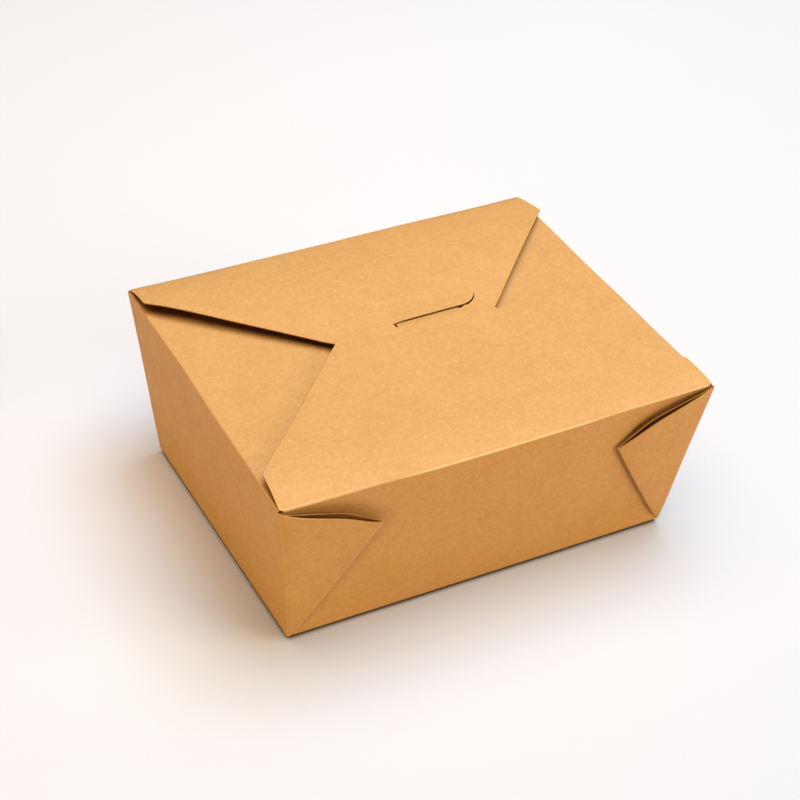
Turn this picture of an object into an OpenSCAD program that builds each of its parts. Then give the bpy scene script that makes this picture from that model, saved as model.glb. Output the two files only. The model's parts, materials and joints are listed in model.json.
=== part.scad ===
// Folded takeaway food box, cut and creased from one sheet of kraft board.
// Every panel is a sheet of the board's thickness about its middle plane, and every
// crease is a bead along the fold line, so all lengths below run from fold to fold.

/* [Box] */
// Distance between the end wall folds at the top
top_l = 165; // [150:1:185]
// Distance between the long wall folds at the top
top_w = 138; // [125:1:150]
// Length of the base
base_l = 152; // [140:1:165]
// Width of the base
base_w = 116; // [105:1:125]
// Height from the base to the top folds
box_h = 67; // [55:1:80]

/* [Board] */
// Thickness of the board
board_t = 0.45; // [0.35:0.05:0.6]
// How much thicker a crease is than the board
crease_swell = 0.05; // [0.03:0.01:0.08]
// Air between two plies that are pressed together
ply_gap = 0.12; // [0.08:0.01:0.2]
// Air left where one panel's edge runs beside another panel
edge_gap = 0.1; // [0.06:0.01:0.2]
// How far the corner creases stop short of the board's edge
crease_stop = 0.3; // [0.2:0.05:0.6]

/* [Corner webs] */
// Length of a web's middle fold, from the base corner to its tip
web_fold = 58.8; // [50:0.2:62]
// How far the outer ply is puffed out at its free edge
web_puff = 2.2; // [0.5:0.1:4]
// Rise of the free edge above a straight cut
web_rise = 1.6; // [0.5:0.1:3]
// How far the free edge starts below the top fold
web_drop = 0.9; // [0.7:0.1:2]
// Height of the base corner at which the doubled web begins
web_foot = 2; // [1.5:0.1:3]

/* [Top flaps] */
// How far the front and back flaps stop short of the end wall folds
flap_inset = 0.6; // [0.4:0.1:2]
// Straight side of the front and back flaps, from the fold to the slanting edge
shoulder = 16; // [10:0.5:22]
// Width of the front flap's leading edge
front_lead_w = 56; // [50:1:66]
// Offset of the front flap's leading edge from the middle of the box
front_lead_shift = 1.5; // [0:0.5:4]
// Width of the back flap's leading edge
back_lead_w = 41; // [38:1:50]
// Offset of the back flap's leading edge from the middle of the box
back_lead_shift = 6; // [4:0.5:8]
// Distance over which a flap springs up from its fold
rise_run = 8; // [6:0.5:10]
// Height of the bow in the back flap between its fold and the slit
back_bow = 1.5; // [0.5:0.1:2.5]
// Air between the front flap and the back flap under it
flap_gap = 0.27; // [0.2:0.01:0.4]
// Air between the front flap's crease and the top of the front wall
hinge_gap = 0.08; // [0.05:0.01:0.15]

/* [End flaps] */
// Depth of the end flaps
end_depth = 64; // [50:1:70]
// Width of the end flaps at their tips
end_tip_w = 96; // [70:1:110]
// How far the end flaps' tips hang below their folds
end_droop = 1.2; // [0.8:0.1:3]
// Radius of the end flaps' tip corners
end_corner_r = 6; // [2:0.5:12]

/* [Lock] */
// Distance of the slit behind the middle of the box
lock_y = 8.6; // [4:0.2:14]
// Height of the back flap above its fold at the slit
lock_rise = 1.17; // [1:0.01:1.6]
// Left end of the slit, from the middle of the box
slit_left = -3.6; // [-8:0.2:0]
// Length of the straight part of the slit
slit_run = 27; // [20:0.5:30]
// Radius of the slit's hooked end
hook_r = 10; // [6:0.5:12]
// Angle that the hooked end turns through
hook_turn = 60; // [30:5:80]
// Width of the slit's open mouth, under the front flap
slit_mouth = 3.2; // [3.1:0.1:4]
// Width of a plain cut
cut_w = 0.3; // [0.2:0.05:0.5]
// Width of the back flap's strip in front of the slit
strip_w = 11.4; // [8:0.2:16]
// Length of the relief cuts beside the tongue
relief_len = 3; // [2.4:0.1:3.1]
// How far the tongue reaches past the slit
tongue_len = 12; // [8:0.5:16]
// How much each side of the tongue tapers to its end
tongue_taper = 3; // [1:0.5:6]
// How far the front flap's leading edge stops short of the slit's back lip
lead_gap = 0.4; // [0.2:0.1:1]

/* [Hidden] */
$fn = 24;
kraft = [0.83, 0.60, 0.36];
kraft_flap = [0.87, 0.64, 0.39];
crease_d = board_t + crease_swell;
ply_step = board_t + ply_gap;
fold_back_d = ply_step + board_t + crease_swell;
base_z = board_t / 2;
fold_z = base_z + box_h;
reach = 2 * (top_l + top_w);
// Leans of the long walls and of the end walls
long_lean = atan((top_w - base_w) / 2 / box_h);
end_lean = atan((top_l - base_l) / 2 / box_h);
long_slant = sqrt(pow(box_h, 2) + pow((top_w - base_w) / 2, 2));
end_slant = sqrt(pow(box_h, 2) + pow((top_l - base_l) / 2, 2));
// Side edges of the walls spread by these angles, and the web folds halfway between them
long_spread = atan((top_l - base_l) / 2 / long_slant);
end_spread = atan((top_w - base_w) / 2 / end_slant);
web_half = (90 - long_spread - end_spread) / 2;
web_angle = web_half - long_spread;
web_tip = [-base_l / 2 + web_fold * sin(web_angle), web_fold * cos(web_angle)];
// Numbers of straight pieces along a web's free edge, the two bent flaps and the arcs
web_steps = 10;
back_steps = 14;
front_steps = 12;
arc_steps = 6;
// The bent flaps' pieces grow longer away from the fold, by this power
piece_growth = 1.6;
shortest_piece = 0.5;
// The end walls reach past the long walls to the web's outer ply
wing = 2 * ply_step / cos(long_lean);
// A long wall's side edge lies inside the end wall by this much
side_in = board_t / 2 + edge_gap + fold_back_d / 2;
flap_half = top_l / 2 - flap_inset;
slit_right = slit_left + slit_run;
front_depth = top_w / 2 + lock_y - lead_gap;
lock_depth = top_w / 2 - lock_y;
back_depth = lock_depth + slit_mouth + strip_w;
// The tongue bends down at the relief cuts' roots and lies level before it meets the slit
tongue_bend = top_w / 2 + lock_y - relief_len;
tongue_flat = top_w / 2 + lock_y - relief_len / 3;
tongue_level = lock_rise - ply_step;
tongue_end = top_w / 2 + lock_y + tongue_len;
front_rise = back_height(lock_depth + lead_gap) + board_t + flap_gap;
// The end flaps start where the flaps over them have risen clear of them
end_inset = -rise_run * ln(1 - (board_t + flap_gap) / front_rise);
end_root_w = top_w - 2 * end_inset;

// Height of the flaps' middle planes above the fold, at a distance d from it
function spring_up(d) = 1 - exp(-d / rise_run);
function front_height(d) = front_rise * spring_up(d);
function back_height(d) =
    lock_rise * spring_up(d) + back_bow * sin(min(180, 180 * d / lock_depth));

// Stations along a flap: close together near the fold, wider further out
function stations(depth, steps) = [for (i = [0:steps]) depth * pow(i / steps, piece_growth)];
function below(list, limit) = [for (d = list) if (d < limit - shortest_piece) d];
function flipped(pts) = [for (i = [len(pts) - 1:-1:0]) pts[i]];
// Outline of a sheet that follows a line of points
function band(pts) = concat(
    [for (p = pts) [p[0], p[1] + board_t / 2]],
    [for (p = flipped(pts)) [p[0], p[1] - board_t / 2]]);

// Side edge of a long wall, as a distance from its middle at a height s up the wall
function long_half(s) = base_l / 2 + (top_l - base_l) / 2 * s / long_slant;
// Point u of the web's free edge, from its start at the corner to the tip
function free_edge(start, u) =
    start + (web_tip - start) * u
    + web_rise * sin(180 * u) * across(web_tip - start);
function across(v) = [-v[1], v[0]] / norm(v);

module panel(pts) {
    linear_extrude(height = board_t, center = true) polygon(pts);
}

// Bead of diameter d on the fold from point p to point q, stopping short of both
module crease(p, q, d = crease_d, stop = 0) {
    run = q - p;
    translate(p)
        rotate([0, acos(run[2] / norm(run)), atan2(run[1], run[0])])
            translate([0, 0, stop])
                cylinder(h = norm(run) - 2 * stop, d = d);
}

// Sheet that bends along its depth, cut to an outline, with its fold on the X axis
module bent_sheet(line, outline) {
    intersection() {
        rotate([90, 0, 90])
            linear_extrude(height = reach, center = true) polygon(band(line));
        translate([0, 0, -box_h / 2]) linear_extrude(height = box_h) polygon(outline);
    }
}

// Places a drawing made in a wall's own plane: x along the fold, y up the wall
module on_long_wall() {
    translate([0, -base_w / 2, base_z]) rotate([90 + long_lean, 0, 0]) children();
}

module on_end_wall() {
    translate([base_l / 2, 0, base_z]) rotate([90 + end_lean, 0, 90]) children();
}

module both_ways(axis) {
    children();
    mirror(axis) children();
}

module base() {
    translate([0, 0, base_z])
        linear_extrude(height = board_t, center = true)
            square([base_l, base_w], center = true);
    difference() {
        union() {
            both_ways([0, 1, 0])
                crease([-base_l / 2, base_w / 2, base_z], [base_l / 2, base_w / 2, base_z]);
            both_ways([1, 0, 0])
                crease([base_l / 2, -base_w / 2, base_z], [base_l / 2, base_w / 2, base_z]);
        }
        translate([0, 0, -crease_d]) cube([reach, reach, 2 * crease_d], center = true);
    }
}

// Long wall up to a height s, narrowed so that the end walls close over its side edges
module long_wall(s) {
    on_long_wall()
        panel([
            [-long_half(0) + side_in, 0],
            [long_half(0) - side_in, 0],
            [long_half(s) - side_in, s],
            [-long_half(s) + side_in, s]
        ]);
}

// End wall with side wings that reach across the edges of the long walls and webs
module end_wall() {
    side = [
        [base_w / 2, 0],
        [base_w / 2 + wing + web_foot * tan(end_spread), web_foot],
        [top_w / 2 + wing - web_drop / 2 * tan(end_spread), end_slant - web_drop / 2],
        [top_w / 2, end_slant]
    ];
    on_end_wall() panel(concat(side, [for (p = flipped(side)) [-p[0], p[1]]]));
}

// Doubled web at the left end of the front wall
module corner_web() {
    inner_n = ply_step;
    outer_n = 2 * ply_step;
    s_top = long_slant - web_drop;
    inner_start = [-long_half(s_top) + side_in, s_top];
    inner_foot = [-long_half(web_foot) + side_in, web_foot];
    outer_start = [-long_half(s_top), s_top];
    outer_foot = [-long_half(web_foot), web_foot];
    base_corner = [-base_l / 2, 0];
    fold_foot = base_corner + (web_tip - base_corner) * web_foot / web_tip[1];
    on_long_wall() {
        translate([0, 0, inner_n])
            panel(concat(
                [fold_foot, inner_foot],
                [for (i = [0:web_steps]) free_edge(inner_start, i / web_steps)]));
        outer_ply(base_corner, outer_start, outer_n);
        web_crease(inner_foot, inner_start, inner_n / 2, fold_back_d);
        web_crease(fold_foot, web_tip, (inner_n + outer_n) / 2, fold_back_d);
        web_crease(outer_foot, outer_start, outer_n, crease_d);
    }
}

// Bead of a web at a level above the wall
module web_crease(p, q, level, d) {
    crease(raised(p, level), raised(q, level), d, crease_stop);
}

// Outer ply of a web: straight lines from the base corner to a puffed free edge
module outer_ply(base_corner, start, level) {
    near = web_foot / start[1];
    steps = [for (i = [0:web_steps]) i / web_steps];
    rings = [
        for (side = [1, -1])
            for (part = [1, near])
                [for (u = steps)
                    raised(base_corner + (free_edge(start, u) - base_corner) * part,
                        level + web_puff * sin(180 * u) * part + side * board_t / 2)]
    ];
    n = web_steps + 1;
    strips = [[0, 1], [1, 3], [3, 2], [2, 0]];
    polyhedron(
        points = [for (ring = rings) each ring],
        faces = concat(
            [for (strip = strips) for (i = [0:web_steps - 1])
                [strip[0] * n + i, strip[0] * n + i + 1, strip[1] * n + i + 1, strip[1] * n + i]],
            [[0, n, 3 * n, 2 * n]],
            [[2 * n + web_steps, 3 * n + web_steps, n + web_steps, web_steps]]));
}

function raised(p, level) = [p[0], p[1], level];

module end_flap() {
    root = end_root_w / 2;
    right_side = concat(
        [for (i = [0:arc_steps]) tip_corner(90 - 90 * i / arc_steps)],
        [[root, 0]]);
    translate([top_l / 2, 0, fold_z])
        rotate([0, 0, 90]) {
            bent_sheet(
                [[0, 0], [end_depth, -end_droop]],
                concat([for (p = flipped(right_side)) [-p[0], p[1]]], right_side));
            crease([-root, 0, 0], [root, 0, 0]);
        }
}

// Point of the rounded corner at the right of an end flap's tip
function tip_corner(a) = [
    end_tip_w / 2 - end_corner_r * (1 - cos(a)),
    end_depth - end_corner_r * (1 - sin(a))
];

// Outline of a front or back flap: straight shoulders, then slanting sides
function flap_outline(lead_w, shift, depth) = [
    [-flap_half, 0],
    [-flap_half, shoulder],
    [shift - lead_w / 2, depth],
    [shift + lead_w / 2, depth],
    [flap_half, shoulder],
    [flap_half, 0]
];

module back_flap() {
    line = [for (d = stations(back_depth, back_steps)) [d, back_height(d)]];
    translate([0, top_w / 2, fold_z])
        mirror([0, 1, 0])
            difference() {
                union() {
                    bent_sheet(line, flap_outline(back_lead_w, back_lead_shift, back_depth));
                    crease([-flap_half, 0, 0], [flap_half, 0, 0]);
                }
                translate([0, 0, -box_h / 2]) linear_extrude(height = box_h) lock_slit();
            }
}

// Slit in the back flap, drawn from its fold: an open mouth and a hooked plain cut
module lock_slit() {
    translate([slit_left - edge_gap, lock_depth])
        square([slit_run + 2 * edge_gap, slit_mouth]);
    turns = [for (i = [0:arc_steps]) hook_turn * i / arc_steps];
    polygon(concat(
        [for (a = turns) hook_point(hook_r, a)],
        [for (a = flipped(turns)) hook_point(hook_r + cut_w, a)]));
}

function hook_point(r, a) = [slit_right + r * sin(a), lock_depth - hook_r + r * cos(a)];

module front_wall() {
    long_wall(long_slant - crease_d / 2 - hinge_gap);
}

module back_wall() {
    mirror([0, 1, 0]) long_wall(long_slant);
}

module carton() {
    color(kraft) {
        base();
        front_wall();
        back_wall();
        both_ways([1, 0, 0]) {
            end_wall();
            end_flap();
        }
        both_ways([0, 1, 0]) both_ways([1, 0, 0]) corner_web();
        back_flap();
    }
}

// Top flap that closes the box, with the tongue that dives through the slit
module front_flap() {
    before_bend = below(stations(front_depth, front_steps), tongue_bend);
    wing_line = [
        for (d = concat(before_bend, [tongue_bend, front_depth])) [d, front_height(d)]
    ];
    tongue_line = [
        [tongue_bend, front_height(tongue_bend)],
        [tongue_flat, tongue_level],
        [tongue_end, tongue_level]
    ];
    color(kraft_flap)
        translate([0, -top_w / 2, fold_z]) {
            difference() {
                bent_sheet(wing_line, flap_outline(front_lead_w, front_lead_shift, front_depth));
                translate([slit_left - cut_w, tongue_bend, -box_h / 2])
                    cube([slit_run + 2 * cut_w, front_depth, box_h]);
            }
            bent_sheet(tongue_line, [
                [slit_left, tongue_bend],
                [slit_left + tongue_taper, tongue_end],
                [slit_right - tongue_taper, tongue_end],
                [slit_right, tongue_bend]
            ]);
            crease([-flap_half, 0, 0], [flap_half, 0, 0]);
        }
}

carton();
front_flap();
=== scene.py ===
"""A closed takeaway box folded from one sheet of kraft board, on a pale studio floor.

Lengths are in metres in the properties and on the stage, and in millimetres in the
shape functions. The middle surface of the board is filled panel by panel in the flat
blank's own coordinates, the panels are joined by rounded creases, and the whole is then
given the board's thickness, so the grain runs on across every fold.
"""

import json
from math import atan, cos, pi, radians, sin, sqrt

import bpy
import numpy as np
from bpy.props import FloatProperty, FloatVectorProperty, PointerProperty
from mathutils import Matrix, Vector
from mathutils.geometry import delaunay_2d_cdt

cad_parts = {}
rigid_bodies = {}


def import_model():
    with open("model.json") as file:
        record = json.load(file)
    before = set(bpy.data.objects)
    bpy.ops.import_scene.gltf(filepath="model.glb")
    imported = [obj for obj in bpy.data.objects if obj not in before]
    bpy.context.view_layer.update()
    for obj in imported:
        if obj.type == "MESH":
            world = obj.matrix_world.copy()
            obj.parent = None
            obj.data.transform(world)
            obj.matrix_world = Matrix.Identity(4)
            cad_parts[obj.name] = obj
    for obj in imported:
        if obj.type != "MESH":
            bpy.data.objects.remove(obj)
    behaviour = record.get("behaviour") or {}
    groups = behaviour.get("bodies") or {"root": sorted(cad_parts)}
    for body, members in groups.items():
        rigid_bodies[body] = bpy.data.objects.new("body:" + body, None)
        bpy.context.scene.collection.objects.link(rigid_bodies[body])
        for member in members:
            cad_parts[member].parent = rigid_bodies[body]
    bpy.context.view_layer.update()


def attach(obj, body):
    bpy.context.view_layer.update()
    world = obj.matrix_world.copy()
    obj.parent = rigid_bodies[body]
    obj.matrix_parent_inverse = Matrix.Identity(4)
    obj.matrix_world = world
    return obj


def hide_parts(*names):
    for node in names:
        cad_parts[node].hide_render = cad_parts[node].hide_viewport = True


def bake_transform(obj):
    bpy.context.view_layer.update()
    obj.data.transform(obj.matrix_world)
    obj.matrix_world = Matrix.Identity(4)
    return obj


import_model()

bl_info = {
    "name": "Takeaway Box",
    "version": (1, 0, 0),
    "blender": (4, 5, 0),
    "location": "3D View > Sidebar > Takeaway Box",
    "description": "Folds a kraft board takeaway box and sets up its studio stage",
    "category": "Object",
}

MM = 0.001

# The signs that stand for the box's sides in all that follows
FACES = {-1: "front", 1: "back"}
HANDS = {-1: "left", 1: "right"}
# Panels start this far from their fold lines, and a crease rounds the way between
BASE_ROUND = 0.35
TOP_ROUND = 0.5
CORNER_ROUND = 0.45
# Nick of the base panel at its corners, where the creases meet
NICK = 0.1
# Unevenness of the folding: shift of the left (-1) and right (1) webs' tips in the wall,
# how far the webs stand off the wall, how deep the wall is dented behind their free edges
# and how far the plies gape
WEB_SHIFT = {-1: (-0.3, 0.3), 1: (-2.3, 1.0)}
WEB_STAND = {-1: 0.6, 1: 0.55}
WALL_DENT = {-1: 0.5, 1: 1.05}
WEB_GAPE = {-1: 1.0, 1: 0.45}
# Shift of the base corners on the floor, by the signs of x and y
BASE_SHIFT = {
    (-1, -1): (0.1, -0.9),
    (1, -1): (-1.5, -1.4),
    (1, 1): (0.0, -1.2),
    (-1, 1): (-1.9, -2.6),
}
# Step from the end of an end wall's front (-1) and back (1) corner fold to the wall's peak
# beside it
PEAK_STEP = {-1: (0.8, -0.6), 1: (-0.8, -0.05)}
# Between these distances from its middle a long wall gives way to the webs that lie on it
WEB_ZONE = (26, 52)
# Parts of the back and front flap that stand up: height, side (-1 left, 1 right), from where
# to where they rise towards that side, and from which to which depth they fall off
BACK_LIFTS = (
    (1.1, -1, (15, 80), (72, 20)),
    (1.3, -1, (45, 82), (50, 18)),
    (0.35, 1, (30, 80), (60, 20)),
)
FRONT_LIFTS = (
    (2.0, -1, (40, 82), (58, 18)),
    (0.6, -1, (30, 82), (76, 20)),
)
# What is added to the distance from each kind of fold before its pale line is drawn. The
# line is partly worn board and partly a painted highlight: above 0 it is thinner, below 0 it
# is wider. A kind that isn't here has no line. The left webs' folds ("tip") get a wider
# painted highlight than the right webs' folds ("tip_right"), which stand in shade.
HIDDEN = {
    "top": 0,
    "brow": 0.8,
    "tip": -0.4,
    "tip_right": 0.3,
    "side": 0.3,
    "front": 0.3,
    "back": 0.3,
    "foot": 0,
}
# Distance beyond the reach of any pale line of wear and painted highlight
FAR = 9.0
# Stations along the folds of the long side, the short side and the corners, and along a
# web's free edge
LONG_STATIONS = 80
SHORT_STATIONS = 60
CORNER_STATIONS = 32
WEB_STATIONS = 28
# Widths of the triangles in panels that show, in the webs and in panels that are mostly
# hidden, and length of the pieces of a cut edge
FINE = 2.1
FINEST = FINE * 0.8
COARSE = 2.8
CUT_STEP = 1.6
# A triangle whose doubled area is below this, in square millimetres, counts as a flat one
SLIVER = 0.004
# How far the painted shade in tight gaps reaches over the board, and the painted contact
# shadow over the floor
BOARD_GAP_SHADE_REACH = 4.0
FLOOR_CONTACT_SHADE_REACH = 3.0


def length(name, description, default):
    """Length property with its default in millimetres."""
    return FloatProperty(
        name=name, description=description, default=default * MM, min=0, unit="LENGTH"
    )


def colour(name, description, default):
    """Colour property."""
    return FloatVectorProperty(
        name=name, description=description, default=default, subtype="COLOR", size=3, min=0, max=1
    )


class TakeawayBoxSizes(bpy.types.PropertyGroup):
    """Sizes of the folded box, from fold to fold"""

    top_length: length("Top length", "Distance between the end wall folds at the top", 165)
    top_width: length("Top width", "Distance between the long wall folds at the top", 138)
    base_length: length("Base length", "Length of the base", 152)
    base_width: length("Base width", "Width of the base", 116)
    height: length("Height", "Height from the base to the top folds", 67)
    board: length("Board", "Thickness of the board", 0.45)
    ply_gap: length("Ply gap", "Air between two plies pressed together", 0.05)
    web_fold: length("Web fold", "Length of a corner web's middle fold", 58.8)
    web_puff: length("Web puff", "How far the outer ply stands off along its free edge", 1.7)
    wall_press: length("Wall press", "How far the wall is pressed in above a web", 0.9)
    shoulder: length("Shoulder", "Straight side of the front and back flaps", 16)
    slit_line: length("Slit line", "Distance of the slit behind the middle of the box", 8.6)
    end_sag: length("End flap sag", "How far the end flaps hang down at their tips", 2.4)
    edge_lift: length("Edge lift", "How far the base's edges stand off the floor", 1.3)
    corner_lift: length("Corner lift", "How much higher the base's corners stand", 0.1)


class TakeawayBoxFinish(bpy.types.PropertyGroup):
    """Colours of the board and of the stage"""

    # Darkness of the inner face: partly its film coating, partly painted shade for gaps and
    # undersides
    inside_shade: FloatProperty(
        name="Inside shade",
        description="Tone of the coated inner face against the outer face",
        default=0.52,
        min=0,
        max=1,
        subtype="FACTOR",
    )
    board_colour: colour("Board", "Colour of the outer face", (0.435, 0.209, 0.058))
    fibre_colour: colour("Fibres", "Colour of the pale fibres in the face", (0.60, 0.35, 0.13))
    fleck_colour: colour("Flecks", "Colour of the dark flecks in the face", (0.20, 0.085, 0.022))
    # The core colour also draws the pale fold lines, partly worn board and partly a painted highlight
    core_colour: colour("Core", "Colour of the cut edges and worn creases", (0.72, 0.50, 0.25))
    floor_colour: colour("Floor", "Colour of the floor and backdrop", (0.51, 0.49, 0.477))


class Form:
    """Fold lines, leans and heights of the box in millimetres."""

    def __init__(self, sizes):
        self.top_l = sizes.top_length / MM
        self.top_w = sizes.top_width / MM
        self.base_l = sizes.base_length / MM
        self.base_w = sizes.base_width / MM
        self.height = sizes.height / MM
        self.board = sizes.board / MM
        self.ply_step = self.board + sizes.ply_gap / MM
        self.base_z = self.board / 2
        self.fold_z = self.base_z + self.height
        out_y = (self.top_w - self.base_w) / 2
        out_x = (self.top_l - self.base_l) / 2
        self.long_lean = atan(out_y / self.height)
        self.end_lean = atan(out_x / self.height)
        self.long_slant = sqrt(self.height**2 + out_y**2)
        self.end_slant = sqrt(self.height**2 + out_x**2)
        self.long_spread = atan(out_x / self.long_slant)
        self.end_spread = atan(out_y / self.end_slant)
        web_half = (pi / 2 - self.long_spread - self.end_spread) / 2
        self.web_angle = web_half - self.long_spread
        self.web_fold = sizes.web_fold / MM
        # Corner webs: the corner they start from, the way of the box's corner edge, where
        # plies and walls begin and end, and the knee in the free edge
        self.corner = np.array([-self.base_l / 2, 0.0])
        self.side_way = np.array([-sin(self.long_spread), cos(self.long_spread)])
        self.web_foot = 0.4
        self.web_top = self.long_slant - 0.9
        self.corner_top = {-1: self.long_slant, 1: self.long_slant - 0.6}
        self.web_rise = 1.7
        self.knee = 0.6
        self.web_puff = sizes.web_puff / MM
        self.wall_press = sizes.wall_press / MM
        self.side_in = 0.86
        # Front and back flaps with their slit and tongue
        self.flap_half = self.top_l / 2 - 0.3
        self.fold_half = {-1: self.flap_half - 1.3, 1: self.flap_half - 0.6}
        self.flap_corner = TOP_ROUND + 0.6
        self.shoulder = sizes.shoulder / MM
        self.slit_line = sizes.slit_line / MM
        self.slit_left = -3.6
        self.mouth_left = self.slit_left - 0.8
        self.slit_right = 23.4
        self.slit_open = 3.2
        self.lock_depth = self.top_w / 2 - self.slit_line
        self.lock_rise = 1.17
        self.back_bow = 1.5
        self.back_depth = self.lock_depth + 14.6
        self.lead_gap = 1.0
        self.front_depth = self.top_w / 2 + self.slit_line - self.lead_gap
        self.front_rise = self.lock_rise + self.board + 0.17
        self.tongue_level = self.lock_rise - self.ply_step
        # End flaps and base
        self.end_root = 67.6
        self.end_depth = 64.0
        self.end_tip = 48.0
        self.end_sag = sizes.end_sag / MM
        self.edge_lift = sizes.edge_lift / MM
        self.corner_lift = sizes.corner_lift / MM

    def web(self, across):
        """Tip of a web and the way of its middle fold, as it lies over the wall's left end."""
        fold = self.web_fold * np.array([sin(self.web_angle), cos(self.web_angle)])
        fold = fold + WEB_SHIFT[across]
        return self.corner + fold, fold / np.linalg.norm(fold)

    def tight(self, s):
        """Share of the full room between plies: the creases run together at the base corner."""
        return 0.15 + 0.85 * smooth(0, 9, s)

    def level(self, ply, s):
        """How far the wall (0) and a web's inner (1) and outer (2) ply lie off the wall plane."""
        return (ply - 1) * self.ply_step * self.tight(s)

    def spring_up(self, d):
        """Share of its full rise that a flap has reached at d from its fold."""
        return 1 - np.exp(-np.asarray(d, float) / 8.0)

    def back_height(self, d):
        """Height of the bowed back flap above its fold."""
        d = np.asarray(d, float)
        bow = np.sin(np.minimum(pi, pi * d / self.lock_depth))
        return self.lock_rise * self.spring_up(d) + self.back_bow * bow

    def front_height(self, d):
        """Height of the front flap above its fold, as it lies on the back flap."""
        return self.front_rise * self.spring_up(d)

    def long_half(self, s):
        """Half the length of a long wall, s up its slope."""
        grow = (self.top_l - self.base_l) / 2
        return self.base_l / 2 + grow * np.asarray(s, float) / self.long_slant


def smooth(low, high, t):
    """0 below low, 1 above high and an even curve between."""
    t = np.clip((np.asarray(t, float) - low) / (high - low), 0, 1)
    return t * t * (3 - 2 * t)


def cross(a, b):
    """Cross product of flat vectors."""
    return a[..., 0] * b[..., 1] - a[..., 1] * b[..., 0]


def reflect(points, through, way):
    """Points of the blank mirrored in the line through a point along a unit way."""
    d = points - through
    along = d @ way
    return through + 2 * along[:, None] * way - d


def on_long_wall(form, side, x, s, n):
    """Point at x along a long wall, s up its slope and n out from its middle plane."""
    y = form.base_w / 2 + s * sin(form.long_lean) + n * cos(form.long_lean)
    z = form.base_z + s * cos(form.long_lean) - n * sin(form.long_lean)
    return np.stack(np.broadcast_arrays(x, side * y, z), -1)


def on_end_wall(form, side, y, s, n):
    """Point at y along an end wall, s up its slope and n out from its middle plane."""
    x = form.base_l / 2 + s * sin(form.end_lean) + n * cos(form.end_lean)
    z = form.base_z + s * cos(form.end_lean) - n * sin(form.end_lean)
    return np.stack(np.broadcast_arrays(side * x, y, z), -1)


def tent(u, knee):
    """Rises evenly to 1 at the knee and falls to 0 at both ends, with a rounded top."""
    soft = 0.16
    t = np.where(u < knee, u / knee, (1 - u) / (1 - knee))
    top = sqrt(1 + soft**2)
    return np.clip((top - np.sqrt((1 - t) ** 2 + soft**2)) / (top - soft), 0, 1)


def free_edge(form, start, tip, u):
    """Point u of a web's free edge, from the box corner to the web's tip."""
    u = np.asarray(u, float)[:, None]
    run = tip - start
    across = np.array([-run[1], run[0]]) / np.linalg.norm(run)
    return start + run * u + across * form.web_rise * tent(u, form.knee)


def web_place(form, tip, p):
    """Share of the way up a web from the base corner, and place along its free edge."""
    start = np.array([-form.long_half(form.web_top), form.web_top])
    d = p - form.corner
    run = tip - start
    u = np.clip(-cross(d, start - form.corner) / (cross(d, run) + 1e-9), -0.2, 1.2)
    reach = np.linalg.norm(free_edge(form, start, tip, np.clip(u, 0, 1)) - form.corner, axis=1)
    return np.linalg.norm(d, axis=1) / reach, np.clip(u, 0, 1)


def wall_press(form, p, dent=None):
    """How far a long wall is pressed in round a web's free edge, and dented behind it."""
    reach_above, reach_below = 5.5, 14.0
    q = np.stack([-np.abs(p[:, 0]), p[:, 1]], 1)
    start = np.array([-form.long_half(form.web_top), form.web_top])
    press = np.zeros(len(p))
    for across in (-1, 1):
        tip, _ = form.web(across)
        run = tip - start
        span = np.linalg.norm(run)
        way = run / span
        d = q - start
        u = np.clip((d @ way) / span, 0, 1)
        above = cross(np.broadcast_to(way, d.shape), d)
        ridge = tent(u, form.knee) ** 1.3
        fade = np.exp(-((above / np.where(above > 0, reach_above, reach_below)) ** 2))
        hold = smooth(0, 5, form.long_slant - q[:, 1]) * smooth(-4, 6, tip[0] + 8 - q[:, 0])
        depth = form.wall_press * ridge
        if dent:
            depth = depth + dent[across] * smooth(0, 0.22, u) * smooth(1, 0.7, u)
        press += np.where(across * p[:, 0] > 0, depth * fade * hold, 0)
    return press


def waves(a, b, *rows):
    """Sum of slow waves over two coordinates. Each has a height, two paces and a start."""
    return sum(
        height * np.sin(pace_a * a + pace_b * b + start)
        for height, pace_a, pace_b, start in rows
    )


def settle(form, p):
    """Unevenness of hand-folded board: slow waves that die out towards the floor, edges of
    the base that stand off it, and shifted base corners."""
    x, y, z = p.T
    free = smooth(0, 30, z)
    dx = waves(y, z, (0.22, 0.043, 0.05, 0.4), (0.10, 0.117, -0.08, 1.9))
    dx = (dx + 0.3 * smooth(40, 67, z) * smooth(-50, -69, y)) * x / form.top_l * 2
    dy = waves(x, z, (0.25, 0.036, 0.04, 2.4), (0.10, 0.098, 0.07, 0.3))
    dz = waves(x, y, (0.12, 0.052, 0, 1.0), (0.10, 0, 0.061, 0.4)) - 0.05
    in_x, in_y = form.base_l / 2 - np.abs(x), form.base_w / 2 - np.abs(y)
    to_edge = np.maximum(np.minimum(in_x, in_y), 0)
    edge_reach, corner_reach, lift_height = 11.0, 9.0, 12.0
    lift = form.edge_lift * np.exp(-((to_edge / edge_reach) ** 2))
    lift = lift + form.corner_lift * np.exp(-((np.hypot(in_x, in_y) / corner_reach) ** 2))
    moved = p + np.stack([dx * free, dy * free, dz * free + lift * np.exp(-z / lift_height)], 1)
    low = np.clip(1 - z / form.height, 0, 1)
    for (sx, sy), (shift_x, shift_y) in BASE_SHIFT.items():
        share = (0.5 + sx * x / form.base_l) * (0.5 + sy * y / form.base_w)
        moved[:, 0] += shift_x * np.clip(share, 0, 1) * low
        moved[:, 1] += shift_y * np.clip(share, 0, 1) * low
    return moved


def crease_bias(kind, points):
    """What each point adds to its distance from a fold. Top folds have their widest pale line, worn
    board and painted highlight, at their ends.
    """
    bias = np.full(len(points), float(HIDDEN.get(kind, FAR)))
    if kind == "top":
        bias -= 0.4 * smooth(*WEB_ZONE, np.abs(points[:, 0]))
    return bias


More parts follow.
